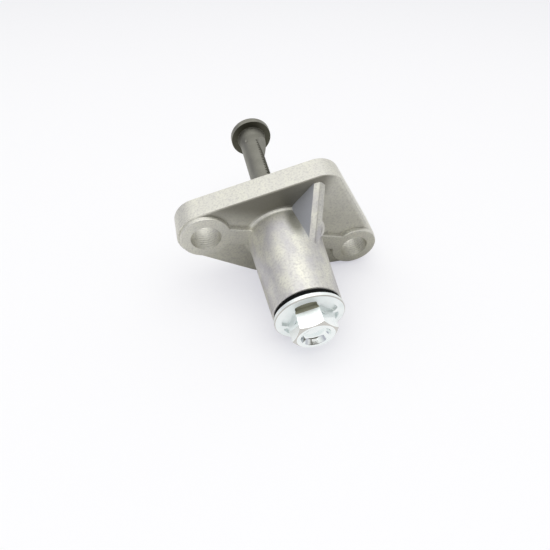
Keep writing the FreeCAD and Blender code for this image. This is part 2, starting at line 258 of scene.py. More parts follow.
@dataclass(frozen=True)
class CastAluminium(Finish):
    """Die-cast aluminium: matt silver with a fine grit, cloudy on the barrel, milled in front, rings in the holes.

    The grit, the milling arcs and the drill's rings are drawn coarser than they are, so that they show.
    """

    name: str = "die_cast_aluminium"
    pale: str = "#DEDDD3"
    dull: str = "#BDBBC1"
    speck: str = "#ADAAAC"
    rough: tuple[float, float] = (0.46, 0.58)
    milled_rough: float = -0.18
    drilled_rough: float = -0.08
    cloud_mm: float = 3.0
    cloud_stretch: tuple[float, float, float] = (1.0, 0.5, 1.0)
    cloud_span: tuple[float, float] = (0.35, 0.65)
    barrel_clouds: float = 0.75
    plate_clouds: float = 0.2
    speck_mm: float = 0.42
    speck_span: tuple[float, float] = (0.45, 0.75)
    speck_share: float = 0.5
    grit_mm: float = 0.3
    skin_mm: float = 1.6
    grit_depth_mm: float = 0.008
    skin_depth_mm: float = 0.02
    ring_mm: float = 0.62
    ring_depth_mm: float = 0.048
    mill_mm: float = 0.6
    mill_depth_mm: float = 0.004
    hole_xs_mm: tuple[float, float] = (-17.2, 18.8)
    hole_z_mm: float = -1.6
    hole_r_mm: float = 3.3
    barrel_from_mm: float = -6.8
    barrel_full_mm: float = -8.5
    face_mm: float = -0.03
    # Painted shade on the plate's back between the barrel, the rib and the top edge.
    recess_shade: str = "#8B8980"
    recess_y_mm: tuple[float, float] = (-5.8, -5.3)
    recess_z_mm: tuple[float, float] = (0.5, 7.0)
    recess_x_mm: tuple[float, float] = (3.0, 6.5)
    recess_shade_right: float = 0.25
    # Painted shade on the barrel at the rib's left foot, where the rib's shadow falls.
    rib_shade: str = "#6A695C"
    rib_shade_middle_mm: tuple[float, float, float] = (-0.9, -9.3, 7.75)
    rib_shade_reach_mm: tuple[float, float, float] = (2.5, 5.2, 2.2)
    rib_shade_span: tuple[float, float] = (0.3, 1.0)
    rib_shade_share: float = 0.75
    # Painted shade on the rib's left flank, the side away from the light.
    flank_shade: str = "#B7B9BE"
    flank_turn: float = 0.8
    flank_from_mm: float = 7.0

    def painted_rib_shade(self, tree: bpy.types.NodeTree, place: bpy.types.NodeSocket) -> bpy.types.NodeSocket:
        """Mask of painted shade on the barrel at the rib's left foot, where the rib's shadow falls.

        Args:
            tree: Tree of the material.
            place: Object coordinates.

        Returns:
            Socket that is highest in the middle of the painted shade.
        """
        share = share_of_reach(tree, place, self.rib_shade_middle_mm, self.rib_shade_reach_mm)
        full, gone = self.rib_shade_span
        return add_node(tree, "ShaderNodeMapRange",
                        {"Value": share, "From Min": full, "From Max": gone, "To Min": self.rib_shade_share,
                         "To Max": 0.0}, interpolation_type="SMOOTHSTEP").outputs[0]

    def painted_flank_shade(self, tree: bpy.types.NodeTree, place: bpy.types.NodeSocket) -> bpy.types.NodeSocket:
        """Mask of the rib's left flank, painted greyer and a little bluer than the rest as shade on the side away
        from the light.

        Args:
            tree: Tree of the material.
            place: Object coordinates.

        Returns:
            Socket that is one on the flank.
        """
        normal = add_node(tree, "ShaderNodeTexCoord").outputs["Normal"]
        turn = add_node(tree, "ShaderNodeVectorMath", {0: normal, 1: (-1.0, 0.0, 0.0)}, operation="DOT_PRODUCT")
        facing = add_node(tree, "ShaderNodeMath", {0: turn.outputs["Value"], 1: self.flank_turn},
                          operation="GREATER_THAN")
        height = add_node(tree, "ShaderNodeSeparateXYZ", {0: place}).outputs["Z"]
        above = add_node(tree, "ShaderNodeMath", {0: height, 1: self.flank_from_mm * MM}, operation="GREATER_THAN")
        return add_node(tree, "ShaderNodeMath", {0: facing.outputs[0], 1: above.outputs[0]},
                        operation="MULTIPLY").outputs[0]

    def painted_recess_shade(self, tree: bpy.types.NodeTree, place: bpy.types.NodeSocket) -> bpy.types.NodeSocket:
        """Mask of painted shade on the plate's back between the barrel, the rib and the top edge, where little light
        reaches.

        Args:
            tree: Tree of the material.
            place: Object coordinates.

        Returns:
            Socket that is one deep in the recess.
        """
        axes = add_node(tree, "ShaderNodeSeparateXYZ", {0: place})
        low, high = self.recess_y_mm
        level = add_node(tree, "ShaderNodeMath",
                         {0: axes.outputs["Y"], 1: (low + high) / 2 * MM, 2: (high - low) / 2 * MM},
                         operation="COMPARE")
        upper = add_node(tree, "ShaderNodeMapRange",
                         {"Value": axes.outputs["Z"], "From Min": self.recess_z_mm[0] * MM,
                          "From Max": self.recess_z_mm[1] * MM}, interpolation_type="SMOOTHSTEP")
        left = add_node(tree, "ShaderNodeMapRange",
                        {"Value": axes.outputs["X"], "From Min": self.recess_x_mm[0] * MM,
                         "From Max": self.recess_x_mm[1] * MM, "To Min": 1.0, "To Max": self.recess_shade_right},
                        interpolation_type="SMOOTHSTEP")
        deep = add_node(tree, "ShaderNodeMath", {0: level.outputs[0], 1: upper.outputs[0]}, operation="MULTIPLY")
        return add_node(tree, "ShaderNodeMath", {0: deep.outputs[0], 1: left.outputs[0]},
                        operation="MULTIPLY").outputs[0]

    def drilled(self, tree: bpy.types.NodeTree, place: bpy.types.NodeSocket) -> bpy.types.NodeSocket:
        """Mask of the walls of the two bolt holes.

        Args:
            tree: Tree of the material.
            place: Object coordinates.

        Returns:
            Socket that is one on the drilled walls.
        """
        left, right = (axis_distance(tree, place, (x, 0.0, self.hole_z_mm)) for x in self.hole_xs_mm)
        near = add_node(tree, "ShaderNodeMath", {0: left, 1: right}, operation="MINIMUM")
        inside = add_node(tree, "ShaderNodeMath", {0: near.outputs[0], 1: self.hole_r_mm * MM}, operation="LESS_THAN")
        return inside.outputs[0]

    def layers(self, tree: bpy.types.NodeTree, place: bpy.types.NodeSocket,
               along: bpy.types.NodeSocket) -> list[tuple[bpy.types.NodeSocket, str]]:
        """Layers of colour: clouds, strongest on the barrel and the rib, a fine fleck, and painted shade in three
        places: the plate's recess, the rib's foot on the barrel and the rib's left flank.

        Args:
            tree: Tree of the material.
            place: Object coordinates.
            along: Height along the plunger.

        Returns:
            Share and hex colour of each layer.
        """
        drawn_out = add_node(tree, "ShaderNodeVectorMath", {0: place, 1: self.cloud_stretch}, operation="MULTIPLY")
        cloud = add_node(tree, "ShaderNodeTexNoise",
                         {"Vector": drawn_out.outputs[0], "Scale": 1 / (self.cloud_mm * MM), "Detail": 3.0,
                          "Roughness": 0.6})
        speck = add_node(tree, "ShaderNodeTexNoise",
                         {"Vector": place, "Scale": 1 / (self.speck_mm * MM), "Detail": 2.0, "Roughness": 0.5})
        barrel = add_node(tree, "ShaderNodeMapRange",
                          {"Value": along, "From Min": self.barrel_full_mm * MM, "From Max": self.barrel_from_mm * MM,
                           "To Min": self.barrel_clouds, "To Max": self.plate_clouds})
        clouds = add_node(tree, "ShaderNodeMapRange",
                          {"Value": cloud.outputs[0], "From Min": self.cloud_span[0], "From Max": self.cloud_span[1],
                           "To Max": barrel.outputs[0]})
        specks = add_node(tree, "ShaderNodeMapRange",
                          {"Value": speck.outputs[0], "From Min": self.speck_span[0], "From Max": self.speck_span[1],
                           "To Max": self.speck_share})
        return [
            (clouds.outputs[0], self.dull),
            (specks.outputs[0], self.speck),
            # Painted shade in the recess, at the rib's foot and on the rib's left flank.
            (self.painted_recess_shade(tree, place), self.recess_shade),
            (self.painted_rib_shade(tree, place), self.rib_shade),
            (self.painted_flank_shade(tree, place), self.flank_shade),
        ]

    def make(self) -> bpy.types.Material:
        """Build the material.

        Returns:
            The finished material.
        """
        material, tree, place = self.start()
        along = add_node(tree, "ShaderNodeSeparateXYZ", {0: place}).outputs["Y"]
        grit = add_node(tree, "ShaderNodeTexNoise",
                        {"Vector": place, "Scale": 1 / (self.grit_mm * MM), "Detail": 2.0, "Roughness": 0.6})
        skin = add_node(tree, "ShaderNodeTexNoise",
                        {"Vector": place, "Scale": 1 / (self.skin_mm * MM), "Detail": 1.0, "Roughness": 0.4})
        rings = add_node(tree, "ShaderNodeTexWave",
                         {"Vector": place, "Scale": WAVE_PERIOD / (self.ring_mm * MM), "Distortion": 0.7,
                          "Detail": 2.0, "Detail Scale": 3.0}, bands_direction="Y")
        arcs = add_node(tree, "ShaderNodeTexWave",
                        {"Vector": place, "Scale": WAVE_PERIOD / (self.mill_mm * MM), "Distortion": 0.6,
                         "Detail": 1.0}, wave_type="RINGS", rings_direction="Y")
        drilled = self.drilled(tree, place)
        milled = add_node(tree, "ShaderNodeMath", {0: along, 1: self.face_mm * MM},
                          operation="GREATER_THAN").outputs[0]
        cast = add_node(tree, "ShaderNodeMath", {0: 1.0, 1: milled}, operation="SUBTRACT").outputs[0]
        rough = add_node(tree, "ShaderNodeMapRange",
                         {"Value": grit.outputs[0], "From Min": NOISE_SPAN[0], "From Max": NOISE_SPAN[1],
                          "To Min": self.rough[0], "To Max": self.rough[1]}).outputs[0]
        for mask, change in ((milled, self.milled_rough), (drilled, self.drilled_rough)):
            rough = add_node(tree, "ShaderNodeMath", {0: mask, 1: change, 2: rough},
                             operation="MULTIPLY_ADD").outputs[0]
        relief: dict[str, bpy.types.NodeSocket] = {}
        for height, depth_mm, strength in (
            (grit.outputs[0], self.grit_depth_mm, cast),
            (skin.outputs[0], self.skin_depth_mm, cast),
            (arcs.outputs["Fac"], self.mill_depth_mm, milled),
            (rings.outputs["Fac"], self.ring_depth_mm, drilled),
        ):
            bump = add_node(tree, "ShaderNodeBump",
                            {"Height": height, "Distance": depth_mm * MM, "Strength": strength, **relief})
            relief = {"Normal": bump.outputs[0]}
        self.close(tree, self.pale, self.layers(tree, place, along),
                   {"Metallic": 1.0, "Roughness": rough, **relief})
        return material


@dataclass(frozen=True)
class PhosphatedSteel(Finish):
    """Oiled manganese-phosphated steel: dark grey-green with a satin sheen and a crystal grain.

    The grain is drawn coarser than it is, so that it shows.
    """

    name: str = "phosphated_steel"
    lit: str = "#97968D"
    dark: str = "#787770"
    # Painted shade under the plunger's head.
    painted_dark: str = "#55544A"
    rough: tuple[float, float] = (0.42, 0.55)
    cloud_mm: float = 2.6
    grain_mm: float = 0.3
    grain_depth_mm: float = 0.006
    under_head_mm: tuple[float, float] = (29.0, 30.2)
    under_head_r_mm: tuple[float, float] = (3.7, 5.2)

    def head_shade(self, tree: bpy.types.NodeTree, place: bpy.types.NodeSocket) -> bpy.types.NodeSocket:
        """Mask of the ring under the plunger's head, which is painted dark as shade under the head.

        Args:
            tree: Tree of the material.
            place: Object coordinates.

        Returns:
            Socket that is one under the head.
        """
        along = add_node(tree, "ShaderNodeSeparateXYZ", {0: place}).outputs["Y"]
        limits = ((along, self.under_head_mm), (axis_distance(tree, place), self.under_head_r_mm))
        level, ring = (add_node(tree, "ShaderNodeMath",
                                {0: value, 1: (low + high) / 2 * MM, 2: (high - low) / 2 * MM},
                                operation="COMPARE").outputs[0] for value, (low, high) in limits)
        return add_node(tree, "ShaderNodeMath", {0: level, 1: ring}, operation="MULTIPLY").outputs[0]

    def make(self) -> bpy.types.Material:
        """Build the material.

        Returns:
            The finished material.
        """
        material, tree, place = self.start()
        cloud = add_node(tree, "ShaderNodeTexNoise",
                         {"Vector": place, "Scale": 1 / (self.cloud_mm * MM), "Detail": 4.0, "Roughness": 0.6})
        grain = add_node(tree, "ShaderNodeTexNoise",
                         {"Vector": place, "Scale": 1 / (self.grain_mm * MM), "Detail": 2.0, "Roughness": 0.6})
        rough = add_node(tree, "ShaderNodeMapRange",
                         {"Value": grain.outputs[0], "From Min": NOISE_SPAN[0], "From Max": NOISE_SPAN[1],
                          "To Min": self.rough[0], "To Max": self.rough[1]}).outputs[0]
        bump = add_node(tree, "ShaderNodeBump",
                        {"Height": grain.outputs[0], "Distance": self.grain_depth_mm * MM, "Strength": 1.0})
        # The ring under the head is painted dark as shade.
        layers = [(cloud.outputs[0], self.dark), (self.head_shade(tree, place), self.painted_dark)]
        self.close(tree, self.lit, layers, {"Metallic": 1.0, "Roughness": rough, "Normal": bump.outputs[0]})
        return material


@dataclass(frozen=True)
class ZincPlate(Finish):
    """Bright zinc plate on a cold-formed bolt: near white, glossy, milky on the flange, with a painted dark
    reflection on the rim, the chamfer and the upper flat's ledge.
    """

    name: str = "zinc_plated_steel"
    pale: str = "#F8FAF9"
    cool: str = "#EAF1F1"
    # Painted dark reflection on the flange's rim and the hexagon's chamfer.
    edge_reflection: str = "#CBC9C4"
    # Painted dark reflection on the ledge at the foot of the upper flat.
    painted_dark: str = "#ADAD9C"
    rough: tuple[float, float] = (0.1, 0.18)
    milky_rough: float = 0.34
    ledge_rough: float = 0.3
    cloud_mm: float = 2.2
    ripple_mm: float = 1.1
    ripple_depth_mm: float = 0.006
    edge_turn: tuple[float, float] = (0.15, 0.95)
    edge_from_mm: float = 3.7
    flat_angle: float = math.radians(122.0)
    flat_mm: float = 3.98
    ledge_middle_mm: float = 3.13
    ledge_r_mm: float = 2.47
    ledge_y_mm: float = -28.95
    flange_mm: float = -30.0

    def edges(self, tree: bpy.types.NodeTree, place: bpy.types.NodeSocket) -> bpy.types.NodeSocket:
        """Mask of the flange's rounded rim and of the hexagon's chamfer, which get a painted dark reflection.

        Args:
            tree: Tree of the material.
            place: Object coordinates.

        Returns:
            Socket that is one on the edges.
        """
        normal = add_node(tree, "ShaderNodeTexCoord").outputs["Normal"]
        turn = add_node(tree, "ShaderNodeVectorMath", {0: normal, 1: tuple(-PLUNGER_WAY)}, operation="DOT_PRODUCT")
        low, high = self.edge_turn
        slanted = add_node(tree, "ShaderNodeMath",
                           {0: turn.outputs["Value"], 1: (low + high) / 2, 2: (high - low) / 2}, operation="COMPARE")
        outer = add_node(tree, "ShaderNodeMath", {0: axis_distance(tree, place), 1: self.edge_from_mm * MM},
                         operation="GREATER_THAN")
        return add_node(tree, "ShaderNodeMath", {0: slanted.outputs[0], 1: outer.outputs[0]},
                        operation="MULTIPLY").outputs[0]

    def ledge(self, tree: bpy.types.NodeTree, place: bpy.types.NodeSocket,
              along: bpy.types.NodeSocket) -> bpy.types.NodeSocket:
        """Mask of the ledge at the foot of the upper flat, which is rougher and gets a painted dark reflection.

        Args:
            tree: Tree of the material.
            place: Object coordinates.
            along: Height along the plunger.

        Returns:
            Socket that is one on the ledge.
        """
        facing = Vector((math.cos(self.flat_angle), 0.0, math.sin(self.flat_angle)))
        reach = axis_distance(tree, place, facing * self.ledge_middle_mm)
        out = add_node(tree, "ShaderNodeVectorMath", {0: place, 1: tuple(facing)}, operation="DOT_PRODUCT")
        beyond = add_node(tree, "ShaderNodeMath", {0: out.outputs["Value"], 1: self.flat_mm * MM},
                          operation="GREATER_THAN")
        within = add_node(tree, "ShaderNodeMath", {0: reach, 1: self.ledge_r_mm * MM}, operation="LESS_THAN")
        low = add_node(tree, "ShaderNodeMath", {0: along, 1: self.ledge_y_mm * MM}, operation="GREATER_THAN")
        segment = add_node(tree, "ShaderNodeMath", {0: beyond.outputs[0], 1: within.outputs[0]}, operation="MULTIPLY")
        return add_node(tree, "ShaderNodeMath", {0: segment.outputs[0], 1: low.outputs[0]},
                        operation="MULTIPLY").outputs[0]

    def make(self) -> bpy.types.Material:
        """Build the material.

        Returns:
            The finished material.
        """
        material, tree, place = self.start()
        along = add_node(tree, "ShaderNodeSeparateXYZ", {0: place}).outputs["Y"]
        cloud = add_node(tree, "ShaderNodeTexNoise",
                         {"Vector": place, "Scale": 1 / (self.cloud_mm * MM), "Detail": 2.0, "Roughness": 0.5})
        ripple = add_node(tree, "ShaderNodeTexNoise",
                          {"Vector": place, "Scale": 1 / (self.ripple_mm * MM), "Detail": 2.0, "Roughness": 0.5})
        milky = add_node(tree, "ShaderNodeMath", {0: along, 1: self.flange_mm * MM}, operation="GREATER_THAN")
        ledge = self.ledge(tree, place, along)
        rough = add_node(tree, "ShaderNodeMapRange",
                         {"Value": cloud.outputs[0], "From Min": NOISE_SPAN[0], "From Max": NOISE_SPAN[1],
                          "To Min": self.rough[0], "To Max": self.rough[1]}).outputs[0]
        for mask, change in ((milky.outputs[0], self.milky_rough), (ledge, self.ledge_rough)):
            rough = add_node(tree, "ShaderNodeMath", {0: mask, 1: change, 2: rough},
                             operation="MULTIPLY_ADD").outputs[0]
        bump = add_node(tree, "ShaderNodeBump",
                        {"Height": ripple.outputs[0], "Distance": self.ripple_depth_mm * MM, "Strength": 1.0})
        # The edges and the ledge get painted dark reflections.
        layers = [(cloud.outputs[0], self.cool), (self.edges(tree, place), self.edge_reflection), (ledge, self.painted_dark)]
        self.close(tree, self.pale, layers, {"Metallic": 1.0, "Roughness": rough, "Normal": bump.outputs[0]})
        return material


@dataclass(frozen=True)
class DrawnSteel(Finish):
    """Ground or drawn carbon steel: plain bright grey with a satin gloss and faint blotches."""

    name: str = "drawn_steel"
    tone: str = "#B4B4B2"
    worn: str = "#8C8B88"
    rough: tuple[float, float] = (0.22, 0.36)
    blotch_mm: float = 0.6

    def make(self) -> bpy.types.Material:
        """Build the material.

        Returns:
            The finished material.
        """
        material, tree, place = self.start()
        blotch = add_node(tree, "ShaderNodeTexNoise",
                          {"Vector": place, "Scale": 1 / (self.blotch_mm * MM), "Detail": 3.0, "Roughness": 0.6})
        rough = add_node(tree, "ShaderNodeMapRange",
                         {"Value": blotch.outputs[0], "From Min": NOISE_SPAN[0], "From Max": NOISE_SPAN[1],
                          "To Min": self.rough[0], "To Max": self.rough[1]}).outputs[0]
        self.close(tree, self.tone, [(blotch.outputs[0], self.worn)], {"Metallic": 1.0, "Roughness": rough})
        return material


@dataclass(frozen=True)
class MouldedRubber(Finish):
    """Moulded nitrile rubber: pure matt black with a soft skin."""

    name: str = "nitrile_rubber"
    black: str = "#050505"
    worn: str = "#0B0B0B"
    rough: tuple[float, float] = (0.7, 0.85)
    ior: float = 1.52
    gloss: float = 0.1
    skin_mm: float = 0.5

    def make(self) -> bpy.types.Material:
        """Build the material.

        Returns:
            The finished material.
        """
        material, tree, place = self.start()
        skin = add_node(tree, "ShaderNodeTexNoise",
                        {"Vector": place, "Scale": 1 / (self.skin_mm * MM), "Detail": 2.0, "Roughness": 0.5})
        rough = add_node(tree, "ShaderNodeMapRange",
                         {"Value": skin.outputs[0], "From Min": NOISE_SPAN[0], "From Max": NOISE_SPAN[1],
                          "To Min": self.rough[0], "To Max": self.rough[1]}).outputs[0]
        self.close(tree, self.black, [(skin.outputs[0], self.worn)],
                   {"Roughness": rough, "IOR": self.ior, "Specular IOR Level": self.gloss})
        return material


@dataclass
class Wire:
    """A round wire that is swept step by step from a ring of vertices."""

    radius_mm: float
    sides: int = 12
    shape: bmesh.types.BMesh = field(default_factory=bmesh.new, init=False)
    first: list[bmesh.types.BMVert] = field(default_factory=list, init=False)
    ring: list[bmesh.types.BMVert] = field(default_factory=list, init=False)

    def begin(self, centre: Vector, across: Vector, way: Vector) -> None:
        """Make the first ring.

        Args:
            centre: Centre of the ring.
            across: A direction in the ring's plane.
            way: Direction in which the wire leaves the ring.
        """
        made = bmesh.ops.create_circle(self.shape, segments=self.sides, radius=self.radius_mm * MM)
        turn = Matrix((across.normalized(), way.cross(across).normalized(), way.normalized())).transposed()
        bmesh.ops.transform(self.shape, matrix=Matrix.Translation(centre) @ turn.to_4x4(), verts=made["verts"])
        self.first = list(made["verts"])
        self.ring = list(made["verts"])

    def ring_geometry(self) -> list[bmesh.types.BMVert | bmesh.types.BMEdge]:
        """Find the wire's present end.

        Returns:
            Its vertices and edges.
        """
        own = set(self.ring)
        edges = dict.fromkeys(e for v in self.ring for e in v.link_edges if own.issuperset(e.verts))
        return [*self.ring, *edges]

    def bend(self, centre: Vector, axis: Vector, angle: float, steps: int, rise: Vector = Vector()) -> None:
        """Turn the wire's end about an axis.

        Args:
            centre: Point on the axis.
            axis: Direction of the axis.
            angle: Angle in radians, by the right-hand rule.
            steps: Number of steps.
            rise: Shift of the whole turn along the axis.
        """
        made = bmesh.ops.spin(self.shape, geom=self.ring_geometry(), cent=centre, axis=axis, dvec=rise / steps,
                              angle=angle, steps=steps, use_merge=False, use_duplicate=False)
        self.ring = [g for g in made["geom_last"] if isinstance(g, bmesh.types.BMVert)]

    def straight(self, run: Vector) -> None:
        """Carry the wire's end on in a straight line.

        Args:
            run: Way and length of the stretch.
        """
        edges = [g for g in self.ring_geometry() if isinstance(g, bmesh.types.BMEdge)]
        made = bmesh.ops.extrude_edge_only(self.shape, edges=edges)
        self.ring = [g for g in made["geom"] if isinstance(g, bmesh.types.BMVert)]
        bmesh.ops.translate(self.shape, verts=self.ring, vec=run)

    def back_to_start(self) -> None:
        """Take up the sweep again at the first ring."""
        self.ring = list(self.first)

    def close(self) -> bmesh.types.BMesh:
        """Cap both ends and set the normals.

        Returns:
            The finished bmesh.
        """
        rims = [e for e in self.shape.edges if e.is_boundary]
        bmesh.ops.holes_fill(self.shape, edges=rims, sides=0)
        bmesh.ops.recalc_face_normals(self.shape, faces=self.shape.faces)
        return self.shape


@dataclass
class Housing:
    """Die-cast housing with its plate, barrel, rib and spigot, and a small cast lump on the rib's right flank."""

    node: str = "housing"
    lump_mm: tuple[float, float, float] = (4.0, -11.5, 8.0)
    lump_half_mm: tuple[float, float, float] = (1.1, 1.9, 0.9)
    lump_lean: float = math.radians(42.0)
    lump_steps: int = 32

    def build_lump(self, material: bpy.types.Material) -> bpy.types.Object:
        """Make the low, long lump that the casting has on the rib's right flank, along the rib's slope.

        Args:
            material: Finish of the casting.

        Returns:
            The lump.
        """
        shape = bmesh.new()
        place = (Matrix.Translation(Vector(self.lump_mm) * MM) @ Matrix.Rotation(self.lump_lean, 4, "X")
                 @ Matrix.Diagonal((*self.lump_half_mm, 1.0)))
        bmesh.ops.create_uvsphere(shape, u_segments=self.lump_steps, v_segments=self.lump_steps // 2, radius=MM,
                                  matrix=place)
        return mesh_object("rib_lump", shape, material, True)

    def dress(self, nodes: dict[str, bpy.types.Object], finish: Finish) -> None:
        """Give the casting its finish and its lump.

        Args:
            nodes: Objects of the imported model.
            finish: Finish of the casting.
        """
        cast = finish.make()
        dress_node(nodes[self.node], cast)
        lump = self.build_lump(cast)
        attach(lump, Body.HOUSING.value)
        LOG.info("housing dressed, lump added")


@dataclass
class Plunger:
    """Ratchet plunger with the spring that pushes it out."""

    node: str = "plunger"
    spring_node: str = "plunger_spring"
    wire_r_mm: float = 0.225
    mean_r_mm: float = 1.75
    foot_mm: float = -21.25
    top_mm: float = 1.0
    open_turns: float = 13.5
    closed_turns: float = 1.25
    travel_mm: float = 14.0
    steps_per_turn: int = 32

    def build_spring(self, material: bpy.types.Material) -> bpy.types.Object:
        """Wind the compression spring with closed and ground ends.

        Args:
            material: Finish of the wire.

        Returns:
            The spring.
        """
        wire_d = 2 * self.wire_r_mm
        length = self.top_mm - self.foot_mm
        closed_rise = self.closed_turns * wire_d
        wire = Wire(self.wire_r_mm)
        start = Vector((self.mean_r_mm, self.foot_mm, 0.0)) * MM
        wire.begin(start, Vector((1.0, 0.0, 0.0)), Vector((0.0, 0.0, -1.0)))
        stages = [
            (self.closed_turns, closed_rise),
            (self.open_turns, length - 2 * closed_rise),
            (self.closed_turns, closed_rise),
        ]
        for turns, rise in stages:
            wire.bend(Vector(), PLUNGER_WAY, turns * math.tau, round(turns * self.steps_per_turn),
                      PLUNGER_WAY * rise * MM)
        for height, way in ((self.foot_mm, -1.0), (self.top_mm, 1.0)):
            whole = wire.shape.verts[:] + wire.shape.edges[:] + wire.shape.faces[:]
            bmesh.ops.bisect_plane(wire.shape, geom=whole, plane_co=PLUNGER_WAY * height * MM,
                                   plane_no=PLUNGER_WAY * way, clear_outer=True)
        return mesh_object("plunger_coil", wire.close(), material, True)

    def dress(self, nodes: dict[str, bpy.types.Object], finish: Finish, wire: bpy.types.Material) -> None:
        """Give the rod its finish and put the spring in.

        Args:
            nodes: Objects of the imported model.
            finish: Finish of the rod.
            wire: Finish of the spring's wire.
        """
        dress_node(nodes[self.node], finish.make())
        spring = self.build_spring(wire)
        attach(spring, Body.HOUSING.value)
        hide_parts(self.spring_node)
        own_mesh(spring)


@dataclass
class Pawl:
    """Pawl on its pin, with the torsion spring that presses it into the teeth."""

    node: str = "pawl"
    pin_node: str = "pawl_pin"
    spring_node: str = "pawl_spring"
    wire_r_mm: float = 0.2
    coil_r_mm: float = 1.2
    pitch_mm: float = 0.42
    turns: int = 2
    pin_out_mm: float = 5.1
    pin_along_mm: float = 2.2
    coil_low_mm: float = 0.34
    foot_along_mm: float = 0.6
    back_out_mm: float = 6.65
    back_along_mm: float = 6.05
    hook_end_mm: float = -0.68
    bend_r_mm: float = 0.35
    steps_per_turn: int = 36
    elbow_steps: int = 4
    hook_steps: int = 6

    def build_spring(self, material: bpy.types.Material) -> bpy.types.Object:
        """Wind the torsion spring with one leg on the plate and one hooked behind the pawl.

        Args:
            material: Finish of the wire.

        Returns:
            The spring.
        """
        pin = rack_point(self.pin_out_mm, self.pin_along_mm, self.coil_low_mm)
        start_out = self.pin_out_mm + self.coil_r_mm
        start = rack_point(start_out, self.pin_along_mm, self.coil_low_mm)
        wire = Wire(self.wire_r_mm)
        wire.begin(start, RACK_OUT, PLUNGER_WAY)
        wire.straight(PLUNGER_WAY * (self.foot_along_mm - self.pin_along_mm) * MM)
        wire.back_to_start()
        rise = self.turns * self.pitch_mm
        wire.bend(pin, RACK_SIDE, self.turns * math.tau, self.turns * self.steps_per_turn, RACK_SIDE * rise * MM)
        high = self.coil_low_mm + rise
        leg = rack_point(self.back_out_mm, self.back_along_mm, high) - rack_point(start_out, self.pin_along_mm, high)
        lean = PLUNGER_WAY.angle(leg)
        elbow = rack_point(start_out + self.bend_r_mm, self.pin_along_mm, high)
        wire.bend(elbow, RACK_SIDE, -lean, self.elbow_steps)
        outward = leg.normalized()
        wire.straight(outward * (leg.length - self.bend_r_mm * MM))
        tip = sum((v.co for v in wire.ring), Vector()) / len(wire.ring)
        wire.bend(tip - RACK_SIDE * self.bend_r_mm * MM, outward.cross(RACK_SIDE), -math.pi / 2, self.hook_steps)
        wire.straight(-RACK_SIDE * (high - self.hook_end_mm - self.bend_r_mm) * MM)
        return mesh_object("pawl_torsion_coil", wire.close(), material, True)

    def dress(self, nodes: dict[str, bpy.types.Object], finish: Finish, wire: bpy.types.Material) -> None:
        """Give the pawl and its pin their finish and put the spring on.

        Args:
            nodes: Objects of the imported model.
            finish: Finish of the pawl and the pin.
            wire: Finish of the spring's wire.
        """
        steel = finish.make()
        dress_node(nodes[self.node], steel)
        dress_node(nodes[self.pin_node], steel)
        spring = self.build_spring(wire)
        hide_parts(self.spring_node)
        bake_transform(spring)
        LOG.info("pawl, pin and torsion spring dressed")


@dataclass
class EndBolt:
    """Hexagon end bolt on its sealing ring."""

    node: str = "end_bolt"
    ring_node: str = "sealing_ring"

    def dress(self, nodes: dict[str, bpy.types.Object], bolt: Finish, ring: Finish) -> None:
        """Give the bolt and the ring their finishes.

        Args:
            nodes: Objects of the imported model.
            bolt: Finish of the bolt.
            ring: Finish of the ring.
        """
        dress_node(nodes[self.node], bolt.make())
        dress_node(nodes[self.ring_node], ring.make())
        LOG.info("end bolt and sealing ring dressed")


